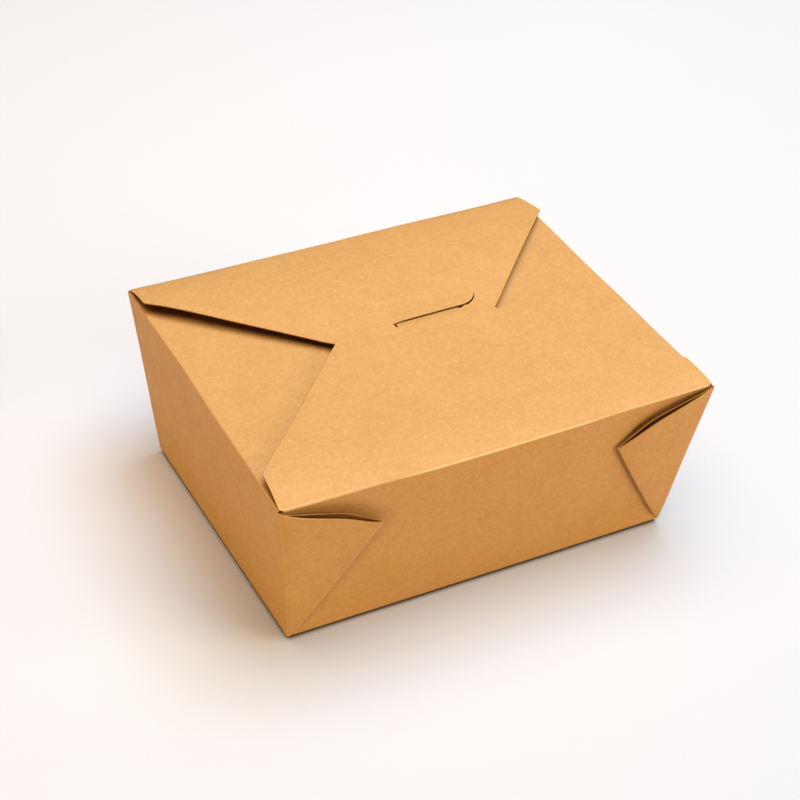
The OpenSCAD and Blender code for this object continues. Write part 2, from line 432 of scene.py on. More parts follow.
class Board:
    """Middle surface of one folded sheet, thickened at the end."""

    def __init__(self, form):
        self.form = form
        self.places, self.blanks, self.folds, self.cuts, self.faces = [], [], [], [], []
        self.count = 0

    def add(self, places, blanks, folds, cuts):
        """Adds points with their places in the blank and their distances from folds and cuts."""
        ids = np.arange(self.count, self.count + len(places))
        self.count += len(places)
        self.places.append(places)
        self.blanks.append(blanks)
        self.folds.append(folds)
        self.cuts.append(cuts)
        return ids

    def panel(self, outline, place, to_blank, outward, step, holes=()):
        """Fills an outline of named runs with even triangles and returns its fold runs.

        outline is a list of (name, points), where a name that is empty marks a cut and any
        other a fold, and each run starts where the one before it ends. place and to_blank take
        its points to space and to the blank, and outward is the way its outer side looks.
        """
        loop = np.concatenate([points[:-1] for _, points in outline])
        rings = [loop, *holes]
        starts = np.cumsum([0] + [len(r) for r in rings])
        rims = np.concatenate(rings)
        after = np.concatenate([np.roll(np.arange(a, b), -1) for a, b in zip(starts, starts[1:])])
        kinds = [name for name, points in outline for _ in points[1:]]
        kinds = np.array(kinds + [""] * (len(rims) - len(loop)))
        inner = lattice(loop, step)
        gap = segment_distance(inner, rims, rims[after])
        inner = inner[inside(inner, rings) & (gap > 0.5 * step)]
        points = np.concatenate([rims, inner])
        edges = [(i, int(after[i])) for i in range(len(rims))]
        made = delaunay_2d_cdt([Vector(p) for p in points], edges, [], 0, 1e-6)
        source = np.array([origin[0] for origin in made[3]])
        triangles = source[np.array(made[2])]
        triangles = share_out_slivers(points, triangles, rings)
        gaps = {}
        for kind in dict.fromkeys(kinds):
            own = kinds == kind
            gaps[kind] = segment_distance(points, rims[own], rims[after][own])
        cut_gap = gaps.pop("", np.full(len(points), FAR))
        biased = [gap + TOP_ROUND + crease_bias(kind, points) for kind, gap in gaps.items()]
        fold_gap = np.min(biased, 0)
        places = place(points)
        ids = self.add(places, to_blank(points), fold_gap, cut_gap)
        self.face(ids[triangles], places[triangles], outward)
        runs, first, nudge = {}, 0, 0.05
        for name, run in outline:
            count = len(run) - 1
            if name:
                at = np.arange(first, first + count + 1) % len(loop)
                way = np.gradient(loop[at], axis=0)
                out = np.stack([way[:, 1], -way[:, 0]], 1)
                out /= np.linalg.norm(out, axis=1)[:, None]
                if not area_positive(loop):
                    out = -out
                leave = place(loop[at]) - place(loop[at] - out * nudge)
                leave /= np.linalg.norm(leave, axis=1)[:, None]
                hidden = crease_bias(name, loop[at])
                runs[name] = Run(ids[at], places[at], leave, self.blanks[-1][at], cut_gap[at], hidden)
            first += count
        return runs

    def face(self, ids, corners, outward):
        """Adds triangles turned so that they look outward."""
        normal = np.cross(corners[:, 1] - corners[:, 0], corners[:, 2] - corners[:, 0])
        if (normal @ np.asarray(outward, float)).sum() < 0:
            ids = ids[:, ::-1]
        self.faces.append(ids)

    def fold(self, a, b, outward, bends=6):
        """Rounds the board from run a to run b. outward is the outer side at run a."""
        if np.linalg.norm(a.places[0] - b.places[0]) > np.linalg.norm(a.places[0] - b.places[-1]):
            b = Run(*(part[::-1] for part in b.parts))
        enter = -b.leave
        turn = np.arccos(np.clip((a.leave * enter).sum(1), -1, 1))
        chord = np.linalg.norm(b.places - a.places, axis=1)
        pull = (chord * 2 * np.tan(turn / 4) / np.maximum(np.sin(turn / 2), 1e-3))[:, None]
        arc = chord * turn / np.maximum(2 * np.sin(turn / 2), 1e-3)
        rows, places = [a.ids], [a.places]
        for k in range(1, bends):
            t = k / bends
            # Cubic curve that leaves one panel and enters the other along their surfaces
            here = (
                (2 * t**3 - 3 * t**2 + 1) * a.places
                + (t**3 - 2 * t**2 + t) * pull * a.leave
                + (3 * t**2 - 2 * t**3) * b.places
                + (t**3 - t**2) * pull * enter
            )
            blank = a.blanks * (1 - t) + b.blanks * t
            gap = arc * abs(t - 0.5) + np.maximum(a.hidden, b.hidden)
            rows.append(self.add(here, blank, gap, np.minimum(a.cuts, b.cuts)))
            places.append(here)
        rows.append(b.ids)
        places.append(b.places)
        rows, places = np.array(rows), np.array(places)
        i, j = np.meshgrid(np.arange(bends), np.arange(len(a.ids) - 1), indexing="ij")
        i, j = i.ravel(), j.ravel()
        quads = [(i, j), (i, j + 1), (i + 1, j + 1), (i + 1, j)]
        ids = np.stack([rows[q] for q in quads], 1)
        corners = np.stack([places[q] for q in quads], 1)
        first = corners[i == 0]
        normal = np.cross(first[:, 1] - first[:, 0], first[:, 3] - first[:, 0])
        if (normal @ np.asarray(outward, float)).sum() < 0:
            ids = ids[:, ::-1]
        self.faces.append(ids[:, [0, 1, 2]])
        self.faces.append(ids[:, [0, 2, 3]])

    def build(self, name):
        """Mesh object with an outer face, an inner face and a rim along every cut."""
        middle = settle(self.form, np.concatenate(self.places))
        faces = np.concatenate(self.faces)
        flat = middle[faces]
        normals = np.zeros_like(middle)
        weighted = np.cross(flat[:, 1] - flat[:, 0], flat[:, 2] - flat[:, 0])
        for k in range(3):
            np.add.at(normals, faces[:, k], weighted)
        normals /= np.maximum(np.linalg.norm(normals, axis=1), 1e-12)[:, None]
        outer = middle + normals * self.form.board / 2
        inner = middle - normals * self.form.board / 2
        ways = np.concatenate([faces[:, [0, 1]], faces[:, [1, 2]], faces[:, [2, 0]]])
        keys = ways[:, 0] * self.count + ways[:, 1]
        back = ways[:, 1] * self.count + ways[:, 0]
        rim = ways[~np.isin(keys, back)]
        n = self.count
        used, place = np.unique(rim, return_inverse=True)
        place = place.reshape(rim.shape)
        low = 2 * n + len(used)
        points = np.concatenate([outer, inner, outer[used], inner[used]]) * MM
        quads = np.stack(
            [2 * n + place[:, 1], 2 * n + place[:, 0], low + place[:, 0], low + place[:, 1]], 1
        )
        mesh = bpy.data.meshes.new(name)
        mesh.from_pydata(
            points.tolist(), [], faces.tolist() + (faces[:, ::-1] + n).tolist() + quads.tolist()
        )
        kinds = np.repeat([0, 1, 2], [len(faces), len(faces), len(quads)])
        mesh.polygons.foreach_set("material_index", kinds.astype(np.int32))
        mesh.polygons.foreach_set("use_smooth", np.ones(len(kinds), bool))
        blanks = np.concatenate(self.blanks)
        blanks = np.concatenate([blanks, blanks, blanks[used], blanks[used]])
        loops = np.empty(len(mesh.loops), np.int32)
        mesh.loops.foreach_get("vertex_index", loops)
        layer = mesh.uv_layers.new(name="blank")
        layer.uv.foreach_set("vector", blanks[loops].astype(np.float32).ravel())
        for title, parts in (("fold_mm", self.folds), ("cut_mm", self.cuts)):
            values = np.concatenate(parts)
            values = np.concatenate([values, values, values[used], values[used]])
            mesh.attributes.new(title, "FLOAT", "POINT").data.foreach_set(
                "value", values.astype(np.float32)
            )
        mesh.update()
        piece = bpy.data.objects.new(name, mesh)
        bpy.context.scene.collection.objects.link(piece)
        return piece


class Run:
    """Stations along one fold edge of a panel."""

    def __init__(self, ids, places, leave, blanks, cuts, hidden):
        self.parts = (ids, places, leave, blanks, cuts, hidden)
        self.ids, self.places, self.leave, self.blanks, self.cuts, self.hidden = self.parts


def area_positive(loop):
    """Whether an outline runs anticlockwise."""
    return cross(loop, np.roll(loop, -1, axis=0)).sum() > 0


def lattice(loop, step):
    """Even triangular lattice of points over an outline's box."""
    low, high = loop.min(0), loop.max(0)
    rows = np.arange(low[1] + step / 2, high[1], step * sqrt(0.75))
    columns = np.arange(low[0] + step / 2, high[0], step)
    x, y = np.meshgrid(columns, rows)
    x = x + (np.arange(len(rows)) % 2)[:, None] * step / 2
    return np.stack([x.ravel(), y.ravel()], 1)


def inside(points, rings):
    """Whether points lie inside an outline and outside its holes."""
    odd = np.zeros(len(points), bool)
    for ring in rings:
        for a, b in zip(ring, np.roll(ring, -1, axis=0)):
            if a[1] == b[1]:
                continue
            spans = (points[:, 1] < max(a[1], b[1])) & (points[:, 1] >= min(a[1], b[1]))
            x = a[0] + (points[:, 1] - a[1]) * (b[0] - a[0]) / (b[1] - a[1])
            odd ^= spans & (points[:, 0] < x)
    return odd


def segment_distance(points, starts, ends):
    """Distance from each point to the nearest of some segments."""
    best = np.full(len(points), np.inf)
    for a, b in zip(starts, ends):
        d = b - a
        t = np.clip(((points - a) @ d) / max(d @ d, 1e-12), 0, 1)
        best = np.minimum(best, np.linalg.norm(points - a - t[:, None] * d, axis=1))
    return best


def share_out_slivers(points, triangles, rings):
    """Keeps the triangles inside the rings. Where three rim points lie in one line, the flat
    triangle between them is taken out and its neighbour is split at the middle point."""
    a, b, c = (points[triangles[:, k]] for k in range(3))
    flat = np.abs(cross(b - a, c - a)) < SLIVER
    held = inside(points[triangles].mean(1), rings)
    whole = [tuple(int(i) for i in t) for t in triangles[held & ~flat]]
    owner = {frozenset((t[k], t[k - 1])): [] for t in whole for k in range(3)}
    for t in whole:
        for k in range(3):
            owner[frozenset((t[k], t[k - 1]))].append(t)
    kept, waiting = set(whole), [tuple(int(i) for i in t) for t in triangles[flat]]
    for _ in range(len(waiting)):
        left = []
        for t in waiting:
            sides = [(np.linalg.norm(points[t[k]] - points[t[k - 1]]), k) for k in range(3)]
            k = max(sides)[1]
            i, j, middle = t[k], t[k - 1], t[(k + 1) % 3]
            near = [n for n in owner.get(frozenset((i, j)), []) if n in kept]
            if len(near) != 1:
                left.append(t)
                continue
            kept.remove(near[0])
            for old in (i, j):
                new = tuple(middle if q == old else q for q in near[0])
                kept.add(new)
                for m in range(3):
                    owner.setdefault(frozenset((new[m], new[m - 1])), []).append(new)
        if len(left) == len(waiting):
            break
        waiting = left
    return np.array(sorted(kept))


def line(a, b, pieces):
    """Even stations from a to b."""
    return np.linspace(np.asarray(a, float), np.asarray(b, float), pieces + 1)


def cuts(*points):
    """Straight runs of cut edge from each point to the next."""
    runs = []
    for a, b in zip(points, points[1:]):
        span = np.linalg.norm(np.asarray(b, float) - np.asarray(a, float))
        runs.append(("", line(a, b, max(1, round(span / CUT_STEP)))))
    return runs


def fold_base(board, form):
    """Base panel. Its corners are nicked so that the creases can turn there."""
    x, y = form.base_l / 2 - BASE_ROUND, form.base_w / 2 - BASE_ROUND
    nx, ny = x - NICK, y - NICK

    def place(p):
        return np.column_stack([p, np.full(len(p), form.base_z)])

    outline = [
        ("foot_front", line((-nx, -y), (nx, -y), LONG_STATIONS)),
        *cuts((nx, -y), (x, -ny)),
        ("foot_right", line((x, -ny), (x, ny), SHORT_STATIONS)),
        *cuts((x, ny), (nx, y)),
        ("foot_back", line((nx, y), (-nx, y), LONG_STATIONS)),
        *cuts((-nx, y), (-x, ny)),
        ("foot_left", line((-x, ny), (-x, -ny), SHORT_STATIONS)),
        *cuts((-x, -ny), (-nx, -y)),
    ]
    return board.panel(outline, place, lambda p: p, (0, 0, -1), COARSE)


def fold_long_wall(board, form, side):
    """Front (-1) or back (1) wall, narrowed at its sides for the fold-back of the webs."""
    foot, top = BASE_ROUND, form.long_slant - TOP_ROUND
    nx = form.base_l / 2 - BASE_ROUND - NICK
    low, web_top, end = form.web_foot, form.web_top, form.fold_half[side]

    def half(s):
        return form.long_half(s) - form.side_in * form.tight(s)

    def place(p):
        give = 1.8
        n = form.level(0, p[:, 1]) * smooth(*WEB_ZONE, np.abs(p[:, 0])) * give
        n = n - wall_press(form, p, WALL_DENT)
        return on_long_wall(form, side, p[:, 0], p[:, 1], n)

    def to_blank(p):
        return np.stack([p[:, 0], side * (form.base_w / 2 + p[:, 1])], 1)

    s = corner_heights(form, web_top)
    sides = np.stack([half(s), s], 1)
    outline = [
        ("foot", line((-nx, foot), (nx, foot), LONG_STATIONS)),
        *cuts((nx, foot), (half(low), low)),
        ("right", sides),
        *cuts((half(web_top), web_top), (end, top)),
        ("top", line((end, top), (-end, top), LONG_STATIONS)),
        *cuts((-end, top), (-half(web_top), web_top)),
        ("left", sides[::-1] * np.array([-1, 1])),
        *cuts((-half(low), low), (-nx, foot)),
    ]
    return board.panel(outline, place, to_blank, (0, side, 0), FINE)


def corner_shares():
    """Stations along a corner's fold as shares of its length, closer together near its foot."""
    return np.linspace(0, 1, CORNER_STATIONS + 1) ** 1.4


def corner_heights(form, top):
    """Heights up a long wall of the stations along a corner."""
    return form.web_foot + (top - form.web_foot) * corner_shares()


def web_blank(form, across, side, doubled):
    """Maps a point of a folded web, as it lies over the left end of the wall, to the blank."""
    _, way = form.web(across)

    def to_blank(p):
        if doubled:
            p = reflect(p, form.corner, way)
        p = reflect(p, form.corner, form.side_way)
        return np.stack([-across * p[:, 0], side * (form.base_w / 2 + p[:, 1])], 1)

    return to_blank


def fold_web(board, form, across, side):
    """Doubled web at one corner. across is -1 at the left and 1 at the right."""
    web_tip, _ = form.web(across)
    foot = form.corner + (web_tip - form.corner) * form.web_foot / web_tip[1]
    steps = (1 - np.cos(np.linspace(0, pi, WEB_STATIONS + 1))) / 2
    tip = foot + (web_tip - foot) * corner_shares()[:, None]

    def stand(p):
        """How far both plies stand off the wall, most at the web's tip."""
        d = p - form.corner
        spread = np.arctan2(d[:, 0], d[:, 1]) + form.long_spread
        full = form.web_angle + form.long_spread
        reach = np.linalg.norm(d, axis=1) / np.linalg.norm(web_tip - form.corner)
        share = np.clip(spread / full, 0, 1) * np.clip(reach, 0, 1.1)
        return WEB_STAND[across] * share**0.5

    def inner_place(p):
        x = -across * p[:, 0]
        n = form.level(1, p[:, 1]) - wall_press(form, np.stack([x, p[:, 1]], 1)) + stand(p)
        return on_long_wall(form, side, x, p[:, 1], n)

    def outer_place(p):
        part, u = web_place(form, web_tip, p)
        puff = form.web_puff * (1 - np.abs(2 * u - 1) ** 4) * np.clip(part, 0, 1.05) ** 1.4
        n = form.level(2, p[:, 1]) + puff * WEB_GAPE[across] + stand(p)
        return on_long_wall(form, side, -across * p[:, 0], p[:, 1], n)

    s = corner_heights(form, form.web_top)
    inner_side = np.stack([-form.long_half(s) + form.side_in * form.tight(s), s], 1)
    s = corner_heights(form, form.corner_top[side])
    outer_side, _ = corner_fold(form, s)
    outer_side[:, 0] += CORNER_ROUND * form.tight(s)
    # The right webs' folds, which stand in shade, get a thinner painted highlight
    kind = "tip" if across < 0 else "tip_right"
    runs = []
    for doubled, edge, place in ((False, inner_side, inner_place), (True, outer_side, outer_place)):
        outline = [
            ("side", edge),
            ("", free_edge(form, edge[-1], web_tip, steps)),
            (kind, tip[::-1]),
            *cuts(foot, edge[0]),
        ]
        looks = (0, side if doubled else -side, 0)
        to_blank = web_blank(form, across, side, doubled)
        runs.append(board.panel(outline, place, to_blank, looks, FINEST))
    board.fold(runs[0][kind], runs[1][kind], (0, -side, 0), bends=8)
    return runs[0]["side"], runs[1]["side"]


def corner_fold(form, s):
    """Corner fold between a web's outer ply and the end wall, s up the long wall: as it lies in
    the long wall's plane, and in the end wall's as distance from its middle and height."""
    n = form.level(2, s)
    y = form.base_w / 2 + s * sin(form.long_lean) + n * cos(form.long_lean)
    z = s * cos(form.long_lean) - n * sin(form.long_lean)
    x = form.base_l / 2 + z / cos(form.end_lean) * sin(form.end_lean)
    return np.stack([-x, s], 1), np.stack([y, z / cos(form.end_lean)], 1)


def fold_end_wall(board, form, across):
    """Left (-1) or right (1) wall, which reaches round to the webs' outer plies."""
    foot, top = BASE_ROUND, form.end_slant - TOP_ROUND
    ny = form.base_w / 2 - BASE_ROUND - NICK
    edges = {}
    for side in (-1, 1):
        s = corner_heights(form, form.corner_top[side])
        _, edges[side] = corner_fold(form, s)
        edges[side][:, 0] -= CORNER_ROUND * form.tight(s)
        edges[side][:, 0] *= side
    front, back = edges[-1], edges[1]
    front_peak, back_peak = front[-1] + PEAK_STEP[-1], back[-1] + PEAK_STEP[1]

    def place(p):
        depth = 0.5
        bow = depth * np.sin(pi * p[:, 1] / form.end_slant) * np.cos(p[:, 0] / form.top_w * pi)
        return on_end_wall(form, across, p[:, 0], p[:, 1], -bow)

    def to_blank(p):
        return np.stack([across * (form.base_l / 2 + p[:, 1]), p[:, 0]], 1)

    outline = [
        ("foot", line((-ny, foot), (ny, foot), SHORT_STATIONS)),
        *cuts((ny, foot), back[0]),
        ("back", back),
        *cuts(back[-1], back_peak, (form.end_root, top)),
        ("brow", line((form.end_root, top), (-form.end_root, top), SHORT_STATIONS)),
        *cuts((-form.end_root, top), front_peak, front[-1]),
        ("front", front[::-1]),
        *cuts(front[0], (-ny, foot)),
    ]
    return board.panel(outline, place, to_blank, (across, 0, 0), FINE)


def fold_end_flap(board, form, across):
    """Flap of an end wall, which lies under the front and back flaps and sags a little."""
    root, tip, depth, r = form.end_root, form.end_tip, form.end_depth, 6.0
    turns = np.linspace(0, pi / 2, 9)
    corner = np.stack([tip - r * (1 - np.cos(turns)), depth - r * (1 - np.sin(turns))], 1)
    other = corner[::-1] * np.array([-1, 1])

    def place(p):
        y, d = p.T
        share, hollow, droop = d / depth, 0.3, 1.5
        drop = form.end_sag * share * (1.25 - 0.25 * share) + hollow * np.sin(pi * share)
        drop = drop + droop * smooth(44, 64, np.abs(y)) * smooth(0.5, 5, d)
        x = form.top_l / 2 - d
        return np.stack([across * x, y, form.fold_z - drop], 1)

    def to_blank(p):
        reach = form.base_l / 2 + form.end_slant + p[:, 1]
        return np.stack([across * reach, p[:, 0]], 1)

    outline = [
        ("brow", line((-root, TOP_ROUND), (root, TOP_ROUND), SHORT_STATIONS)),
        *cuts((root, TOP_ROUND), corner[0]),
        ("", corner),
        *cuts(corner[-1], other[0]),
        ("", other),
        *cuts(other[-1], (-root, TOP_ROUND)),
    ]
    return board.panel(outline, place, to_blank, (0, 0, 1), FINE)


def flap_sides(form, side, shift, lead, depth, jut=0.0, tuck=0.0):
    """Outline points of a front or back flap: shoulders, then slanting sides to a leading edge.

    The right shoulder stands out by jut and the left one in by tuck. The leading edge is lead
    long and its middle lies shift to the right.
    """
    right = [
        (form.fold_half[side], TOP_ROUND),
        (form.flap_half, form.flap_corner),
        (form.flap_half + jut, form.shoulder),
        (shift + lead / 2, depth),
    ]
    left = [
        (shift - lead / 2, depth),
        (tuck - form.flap_half, form.shoulder),
        (-form.flap_half, form.flap_corner),
        (-form.fold_half[side], TOP_ROUND),
    ]
    return right, left


def flap_root(form, side):
    """Run of the top fold at which a front or back flap starts."""
    half = form.fold_half[side]
    return ("top", line((-half, TOP_ROUND), (half, TOP_ROUND), LONG_STATIONS))


def lip_curl(form, x, d):
    """How far the slit's lip is pushed up by the tongue under it."""
    height, reach, lip = 0.6, 4.5, -0.3
    behind = form.lock_depth - d
    ends = smooth(-2, 5, x - form.slit_left) * smooth(-9, 2, form.slit_right - x)
    return height * ends * np.where(behind > lip, np.exp(-((behind / reach) ** 2)), 0)


def flap_lift(form, lifts, x, d):
    """How far the free parts of a flap stand up."""
    return sum(
        height * smooth(*rise, side * x) * form.spring_up(d) * smooth(*fall, d)
        for height, side, rise, fall in lifts
    )


def fold_back_flap(board, form):
    """Back flap with the slit that takes the tongue."""
    right, left = flap_sides(form, 1, shift=6.0, lead=41.0, depth=form.back_depth, jut=1.2)
    upper, lower = form.lock_depth, form.lock_depth + form.slit_open
    hook, hook_width = 10.0, 1.0
    turns = np.radians(np.linspace(0, 60, 9))
    middle = np.array([form.slit_right, upper - hook])
    way = np.stack([np.sin(turns), np.cos(turns)], 1)
    ends = [middle + r * way for r in (hook, hook + hook_width)]
    taper = (0.2 + 0.8 * np.cos(np.linspace(-0.3, pi / 2, len(turns))))[:, None]
    outer = ends[0] + (ends[1] - ends[0]) * taper
    slit = np.concatenate(
        [
            line((form.mouth_left, upper), (form.slit_right, upper), 18)[:-1],
            ends[0],
            outer[::-1][:-1],
            line((form.slit_right - 0.6, lower), (form.mouth_left, lower), 12),
            line((form.mouth_left, lower), (form.mouth_left, upper), 2)[1:-1],
        ]
    )

    def place(p):
        x, d = p.T
        z = form.fold_z + form.back_height(d) + flap_lift(form, BACK_LIFTS, x, d)
        return np.stack([x, form.top_w / 2 - d, z + lip_curl(form, x, d)], 1)

    def to_blank(p):
        return np.stack([p[:, 0], form.base_w / 2 + form.long_slant + p[:, 1]], 1)

    outline = [flap_root(form, 1), *cuts(*right, *left)]
    return board.panel(outline, place, to_blank, (0, 0, 1), FINE, [slit])


def fold_front_flap(board, form):
    """Front flap with the tongue that dives through the slit, drawn as it lies closed."""
    lead = form.front_depth
    right, left = flap_sides(form, -1, shift=1.5, lead=56.0, depth=lead, jut=-0.4, tuck=0.7)
    bend, end = lead + form.lead_gap - 3.0, lead + form.lead_gap + 12.0
    a, b, slant = form.slit_left, form.slit_right, 3
    tongue = [
        (b + 0.05, lead),
        (b, bend),
        (b - slant, end),
        (a + slant, end),
        (a, bend),
        (form.mouth_left, bend),
        (form.mouth_left, lead),
    ]

    def place(p):
        x, d = p.T
        z = form.front_height(d) + flap_lift(form, FRONT_LIFTS, x, d)
        dive = smooth(bend + 0.6, bend + 2.8, d) * ((x > a - 0.1) & (x < b + 0.1))
        z = z + dive * (form.tongue_level - z)
        return np.stack([x, d - form.top_w / 2, form.fold_z + z], 1)

    def to_blank(p):
        return np.stack([p[:, 0], -(form.base_w / 2 + form.long_slant + p[:, 1])], 1)

    outline = [flap_root(form, -1), *cuts(*right, *tongue, *left)]
    return board.panel(outline, place, to_blank, (0, 0, 1), FINE)


def new_material(name):
    """Material with an empty node tree."""
    material = bpy.data.materials.new(name)
    material.use_nodes = True
    material.node_tree.nodes.clear()
    return material


class Nodes:
    """Short calls for building a node tree. Each gives an output, and add gives the node."""

    def __init__(self, tree):
        self.tree = tree

    def add(self, kind, inputs=None, **settings):
        """New node with values or links on its named sockets, and its settings."""
        node = self.tree.nodes.new(kind)
        for name, value in settings.items():
            setattr(node, name, value)
        for name, value in (inputs or {}).items():
            self.feed(node.inputs[name], value)
        return node

    def feed(self, socket, value):
        """Links a socket to another one, or sets it to a value."""
        if isinstance(value, bpy.types.NodeSocket):
            self.tree.links.new(value, socket)
        else:
            socket.default_value = value

    def math(self, operation, a, b=0.0):
        """Sum over one or two numbers."""
        node = self.tree.nodes.new("ShaderNodeMath")
        node.operation = operation
        for socket, value in zip(node.inputs, (a, b)):
            self.feed(socket, value)
        return node.outputs[0]

    def vector(self, operation, a, b=(0, 0, 0), scale=None):
        """Sum over one or two vectors or colours, or over one and a scale."""
        node = self.tree.nodes.new("ShaderNodeVectorMath")
        node.operation = operation
        self.feed(node.inputs[0], a)
        self.feed(node.inputs[1], b)
        if scale is not None:
            self.feed(node.inputs["Scale"], scale)
        return node.outputs[0]

    def step(self, value, low, high, to_low=0.0, to_high=1.0):
        """Even curve from one level to another as the value goes from low to high."""
        node = self.tree.nodes.new("ShaderNodeMapRange")
        node.interpolation_type = "SMOOTHSTEP"
        for name, part in zip(
            ("Value", "From Min", "From Max", "To Min", "To Max"), (value, low, high, to_low, to_high)
        ):
            self.feed(node.inputs[name], part)
        return node.outputs[0]

    def noise(self, vector, scale, detail, rough, seed):
        """Cloudy value from 0 to 1. The seed is the fourth coordinate."""
        node = self.tree.nodes.new("ShaderNodeTexNoise")
        node.noise_dimensions = "4D"
        for name, value in (("Scale", scale), ("Detail", detail), ("Roughness", rough), ("W", seed)):
            self.feed(node.inputs[name], value)
        self.feed(node.inputs["Vector"], vector)
        return node.outputs[0]

    def mix(self, factor, a, b):
        """Colour a where the factor is 0 and b where it is 1. A mix node has sockets for
        numbers, vectors and colours, and these are the ones for colours."""
        node = self.tree.nodes.new("ShaderNodeMix")
        node.data_type = "RGBA"
        for place, value in zip((0, 6, 7), (factor, a, b)):
            self.feed(node.inputs[place], value)
        return node.outputs[2]

    def gap_shade_mask(self, reach, low, high, samples):
        """Mask for painted shade: it rises from 0 in a tight gap to 1 in the open, by rays of some
        millimetres.
        """
        settings = {"Distance": reach * MM}
        cover = self.add("ShaderNodeAmbientOcclusion", settings, samples=samples)
        return self.step(cover.outputs["AO"], low, high)


def new_group(name, masks, **defaults):
    """Empty shader group that takes a Vector and named numbers and gives named masks."""
    group = bpy.data.node_groups.new(name, "ShaderNodeTree")
    group.interface.new_socket("Vector", in_out="INPUT", socket_type="NodeSocketVector")
    for title, default in defaults.items():
        socket = group.interface.new_socket(title, in_out="INPUT", socket_type="NodeSocketFloat")
        socket.default_value = default
    for title in masks:
        group.interface.new_socket(title, in_out="OUTPUT", socket_type="NodeSocketFloat")
    n = Nodes(group)
    return group, n, n.add("NodeGroupInput").outputs, n.add("NodeGroupOutput").inputs


def fibre_group():
    """Short curled fibres: lines where slow noise crosses its mean, broken up by a mask."""
    group, n, given, out = new_group(
        "Board Fibres", ["Mask"], Scale=0.4, Width=0.03, Cover=0.5, Seed=0.0
    )
    value = n.noise(given["Vector"], given["Scale"], detail=1.5, rough=0.6, seed=given["Seed"])
    ridge = n.math("ABSOLUTE", n.math("SUBTRACT", value, 0.5))
    stroke = n.step(ridge, given["Width"], 0.0)
    seed = n.math("ADD", given["Seed"], 7.3)
    scale = n.math("MULTIPLY", given["Scale"], 1.3)
    patch = n.noise(given["Vector"], scale, detail=0.0, rough=0.5, seed=seed)
    edge = n.math("ADD", given["Cover"], 0.1)
    n.feed(out["Mask"], n.math("MULTIPLY", stroke, n.step(patch, given["Cover"], edge)))
    return group


def fleck_group():
    """Small dark flecks: a few of the cells of a point pattern, each with its own size."""
    group, n, given, out = new_group("Board Flecks", ["Mask"], Scale=0.3, Share=0.3, Size=0.08)
    swirl = n.add("ShaderNodeTexNoise", {"Vector": given["Vector"], "Scale": 1.1})
    bend = n.vector("SCALE", swirl.outputs["Color"], scale=0.9)
    bent = n.vector("ADD", given["Vector"], bend)
    cells = n.add("ShaderNodeTexVoronoi", {"Vector": bent, "Scale": given["Scale"]})
    pick = n.add("ShaderNodeSeparateColor", {"Color": cells.outputs["Color"]}).outputs
    chosen = n.math("LESS_THAN", pick[0], given["Share"])
    radius = n.math("MULTIPLY", n.math("ADD", pick[1], 0.35), given["Size"])
    near = n.step(cells.outputs["Distance"], radius, n.math("MULTIPLY", radius, 0.4))
    n.feed(out["Mask"], n.math("MULTIPLY", near, chosen))
    return group


def tone_group():
    """Cloudy tone of the board: slow patches, streaks along the grain and fine tooth."""
    group, n, given, out = new_group("Board Tone", ["Patches", "Tooth"])
    where = given["Vector"]
    grain = n.vector("MULTIPLY", where, (0.6, 1.0, 1.0))
    slow = n.noise(where, 0.07, detail=3.0, rough=0.6, seed=3.0)
    streak = n.noise(grain, 0.35, detail=3.0, rough=0.65, seed=1.0)
    fine = n.noise(where, 0.55, detail=2.0, rough=0.6, seed=5.0)
    blend = n.math("ADD", n.math("MULTIPLY", slow, 0.3), n.math("MULTIPLY", streak, 0.3))
    n.feed(out["Patches"], n.math("ADD", blend, n.math("MULTIPLY", fine, 0.4)))
    n.feed(out["Tooth"], n.noise(where, 2.2, detail=3.0, rough=0.75, seed=9.0))
    return group


def wear_and_highlight_group():
    """Pale, broken line along a fold or a cut, from the distance to it in millimetres. Along a
    cut it is worn board, and along a fold it is worn board and a painted highlight.
    """
    group, n, given, out = new_group("Board Wear And Highlight", ["Mask"], Distance=FAR, Width=0.6, Break=0.5)
    ragged = n.noise(given["Vector"], 1.4, detail=2.0, rough=0.6, seed=11.0)
    reach = n.math("MULTIPLY", given["Width"], n.math("ADD", ragged, 0.5))
    line_mask = n.step(given["Distance"], reach, n.math("MULTIPLY", reach, 0.25))
    patch = n.noise(given["Vector"], 0.16, detail=2.0, rough=0.5, seed=13.0)
    low, high = (n.math(way, given["Break"], 0.12) for way in ("SUBTRACT", "ADD"))
    broken = n.step(patch, low, high, to_low=0.8)
    n.feed(out["Mask"], n.math("MULTIPLY", line_mask, broken))
    return group


def tinted(tone, factors=(1, 1, 1)):
    """Colour as a socket takes it, with each channel times its factor."""
    return (*(min(1, c * f) for c, f in zip(tone, factors)), 1)


